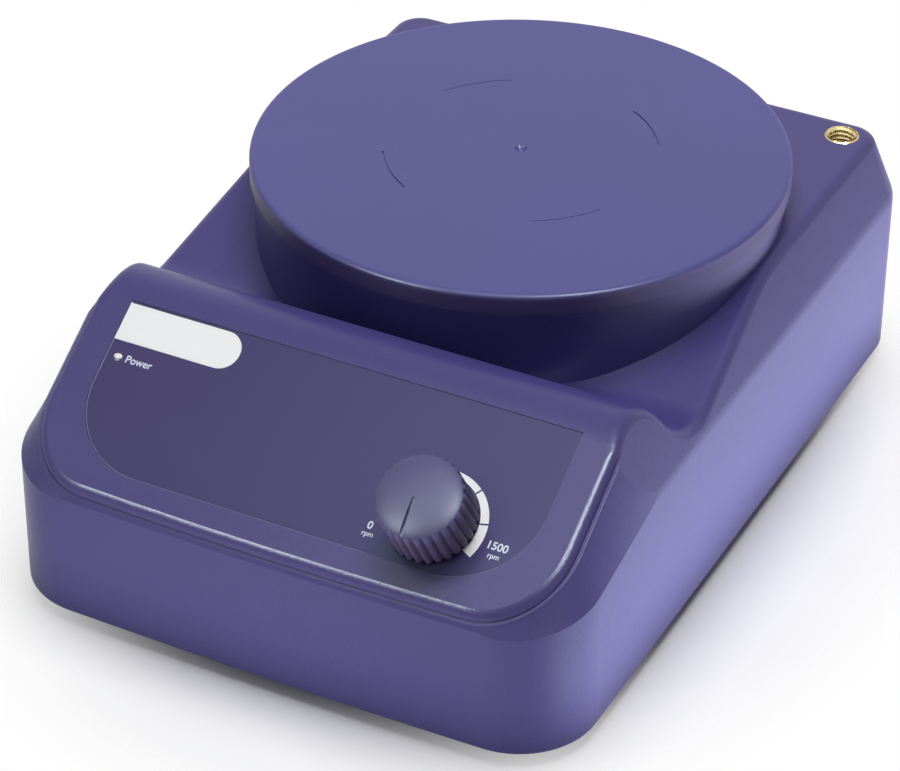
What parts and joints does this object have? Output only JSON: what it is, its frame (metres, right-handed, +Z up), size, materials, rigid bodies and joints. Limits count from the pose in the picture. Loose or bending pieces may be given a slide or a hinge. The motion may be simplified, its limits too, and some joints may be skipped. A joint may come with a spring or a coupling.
{
  "type": "magnetic stirrer",
  "caption": "Compact bench magnetic stirrer: round plate on a drum, sloping console with speed knob, rear mains inlet and switch, rod socket at the back corner.",
  "frame": {"origin": "on the table under the middle of the housing", "axes": "+X to the right seen from the front, +Y to the back, +Z up"},
  "size_m": [0.15, 0.209, 0.0786],
  "materials": {
    "housing_plastic": "fine spark texture, satin",
    "base_plastic": "moulded, matte",
    "foot_rubber": "matte rubber",
    "screw_steel": "zinc plated",
    "plate_plastic": "smooth satin",
    "gasket_rubber": "matte rubber",
    "overlay_film": "printed polyester film",
    "label_white": "plain white film",
    "lamp_lens": "clear diffusing lens",
    "knob_plastic": "satin moulding",
    "spindle_metal": "turned",
    "pot_metal": "plated can",
    "board_laminate": "solder resist",
    "socket_brass": "turned",
    "bracket_steel": "zinc plated sheet",
    "motor_paint": "black paint",
    "bearing_steel": "ground",
    "core_iron": "laminated",
    "carrier_aluminium": "machined",
    "magnet_ferrite": "ferrite",
    "capacitor_sleeve": "shrink sleeve",
    "terminal_plastic": "moulded",
    "inlet_plastic": "moulded",
    "pin_metal": "nickel plated",
    "fuse_glass": "clear tube",
    "rocker_plastic": "polished"
  },
  "bodies": {
    "housing": {"upper_housing": "housing_plastic", "base_plate": "base_plastic", "rubber_feet": "foot_rubber", "base_screws": "screw_steel", "stirring_plate": "plate_plastic", "plate_gasket": "gasket_rubber", "plate_screws": "screw_steel", "panel_overlay": "overlay_film", "blank_label": "label_white", "power_lamp": "lamp_lens", "potentiometer_body": "pot_metal", "potentiometer_washer": "screw_steel", "potentiometer_nut": "screw_steel", "control_board": "board_laminate", "rod_socket": "socket_brass", "motor_bracket": "bracket_steel", "bracket_screws": "screw_steel", "motor_can": "motor_paint", "motor_end_cap": "motor_paint", "upper_bearing": "bearing_steel", "lower_bearing": "bearing_steel", "stator_core": "core_iron", "motor_screws": "screw_steel", "driver_board": "board_laminate", "board_screws": "screw_steel", "transformer": "core_iron", "capacitors": "capacitor_sleeve", "heat_sink": "carrier_aluminium", "terminal_block": "terminal_plastic", "mains_inlet": "inlet_plastic", "inlet_pins": "pin_metal", "switch_frame": "inlet_plastic"},
    "knob": {"speed_knob": "knob_plastic", "potentiometer_shaft": "spindle_metal"},
    "rotor": {"rotor_core": "core_iron", "motor_shaft": "bearing_steel", "magnet_carrier": "carrier_aluminium", "drive_magnets": "magnet_ferrite", "carrier_set_screw": "screw_steel"},
    "fuse_tray": {"fuse_drawer": "inlet_plastic", "fuse": "fuse_glass"},
    "rocker": {"switch_rocker": "rocker_plastic"}
  },
  "joints": [
    {"name": "speed_turn", "type": "hinge", "parent": "housing", "child": "knob", "pos_m": [0.0346, -0.08761, 0.05065], "axis": [0, 0.5329, -0.8462], "range_deg": [0, 290]},
    {"name": "rotor_spin", "type": "hinge", "parent": "housing", "child": "rotor", "pos_m": [0, 0.0266, 0.05], "axis": [0, 0, 1], "continuous": true},
    {"name": "drawer_slide", "type": "slide", "parent": "housing", "child": "fuse_tray", "axis": [0, 1, 0], "range_m": [0, 0.012]},
    {"name": "rocker_tip", "type": "hinge", "parent": "housing", "child": "rocker", "pos_m": [0.02, 0.0975, 0.0273], "axis": [-1, 0, 0], "range_deg": [0, 20]}
  ]
}
